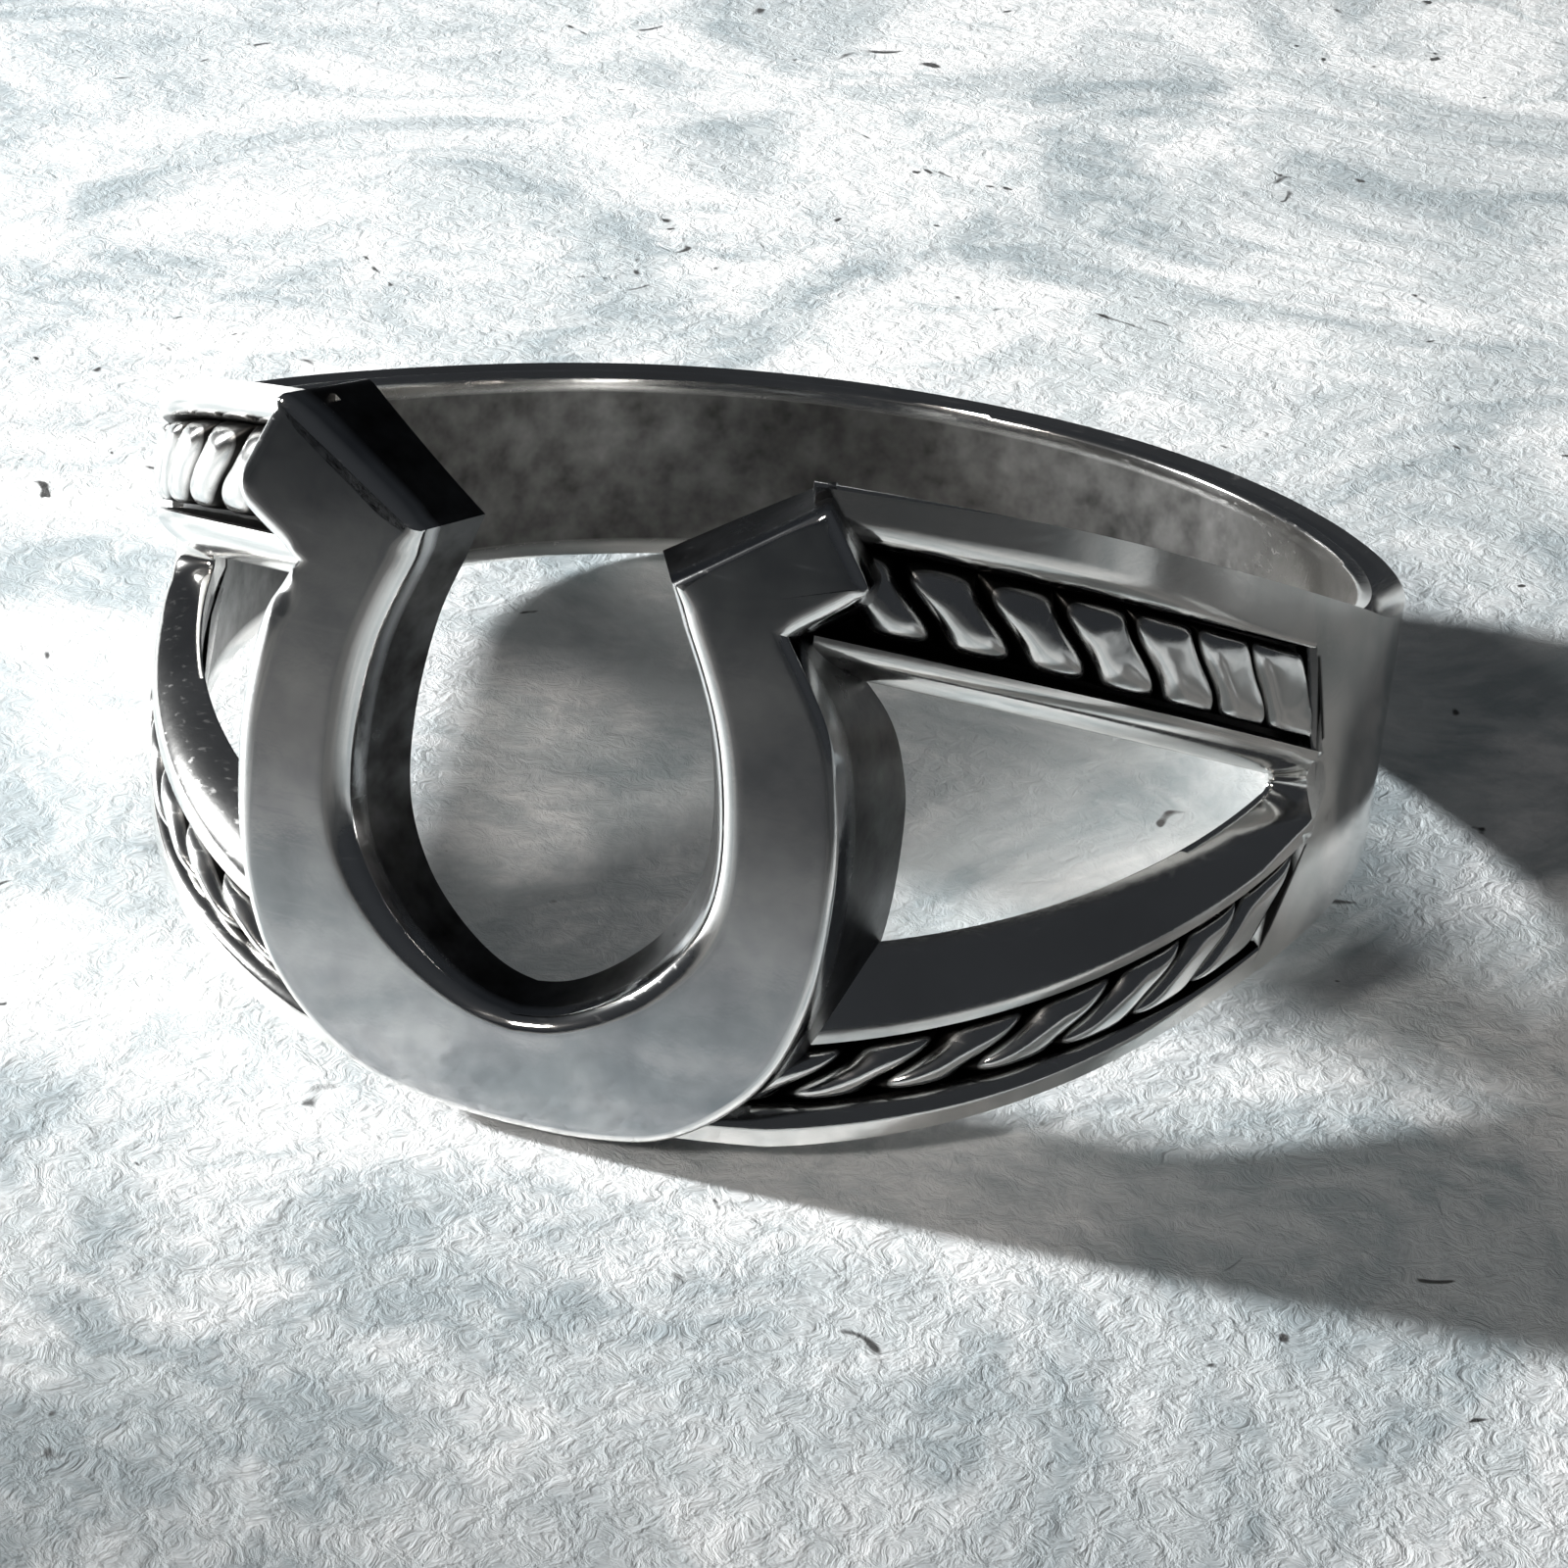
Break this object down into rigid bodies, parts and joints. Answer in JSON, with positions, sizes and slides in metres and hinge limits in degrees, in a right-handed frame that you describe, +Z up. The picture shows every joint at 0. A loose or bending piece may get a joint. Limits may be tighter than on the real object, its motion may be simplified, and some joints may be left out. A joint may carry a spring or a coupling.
{
  "type": "finger ring",
  "caption": "Silver finger ring with a flat horseshoe head and split shoulders, each arm carrying a rope pattern between two rails.",
  "frame": {"origin": "on the table under the middle of the ring as it lies at rest", "axes": "+Z up from the table, -Y towards the horseshoe head, +X to the wearer's-eye right of the head; the finger hole's axis leans back from +Z towards +Y by about 8 degrees"},
  "size_m": [0.0206, 0.0214, 0.0106],
  "materials": {
    "polished_silver": "hand-polished sterling silver with fine wear scratches",
    "brushed_silver_face": "worn satin sterling silver with soft mottling and small dents",
    "rope_silver": "polished sterling silver lobes over oxidised grooves",
    "blackened_silver": "oxidised sterling silver, matt black"
  },
  "bodies": {
    "root": {"horseshoe": "brushed_silver_face", "shank": "polished_silver", "split_frame_right": "polished_silver", "outer_rail_upper_right": "polished_silver", "channel_bed_upper_right": "blackened_silver", "rope_upper_right": "rope_silver", "outer_rail_lower_right": "polished_silver", "channel_bed_lower_right": "blackened_silver", "rope_lower_right": "rope_silver", "split_frame_left": "polished_silver", "outer_rail_upper_left": "polished_silver", "channel_bed_upper_left": "blackened_silver", "rope_upper_left": "rope_silver", "outer_rail_lower_left": "polished_silver", "channel_bed_lower_left": "blackened_silver", "rope_lower_left": "rope_silver"}
  },
  "joints": []
}
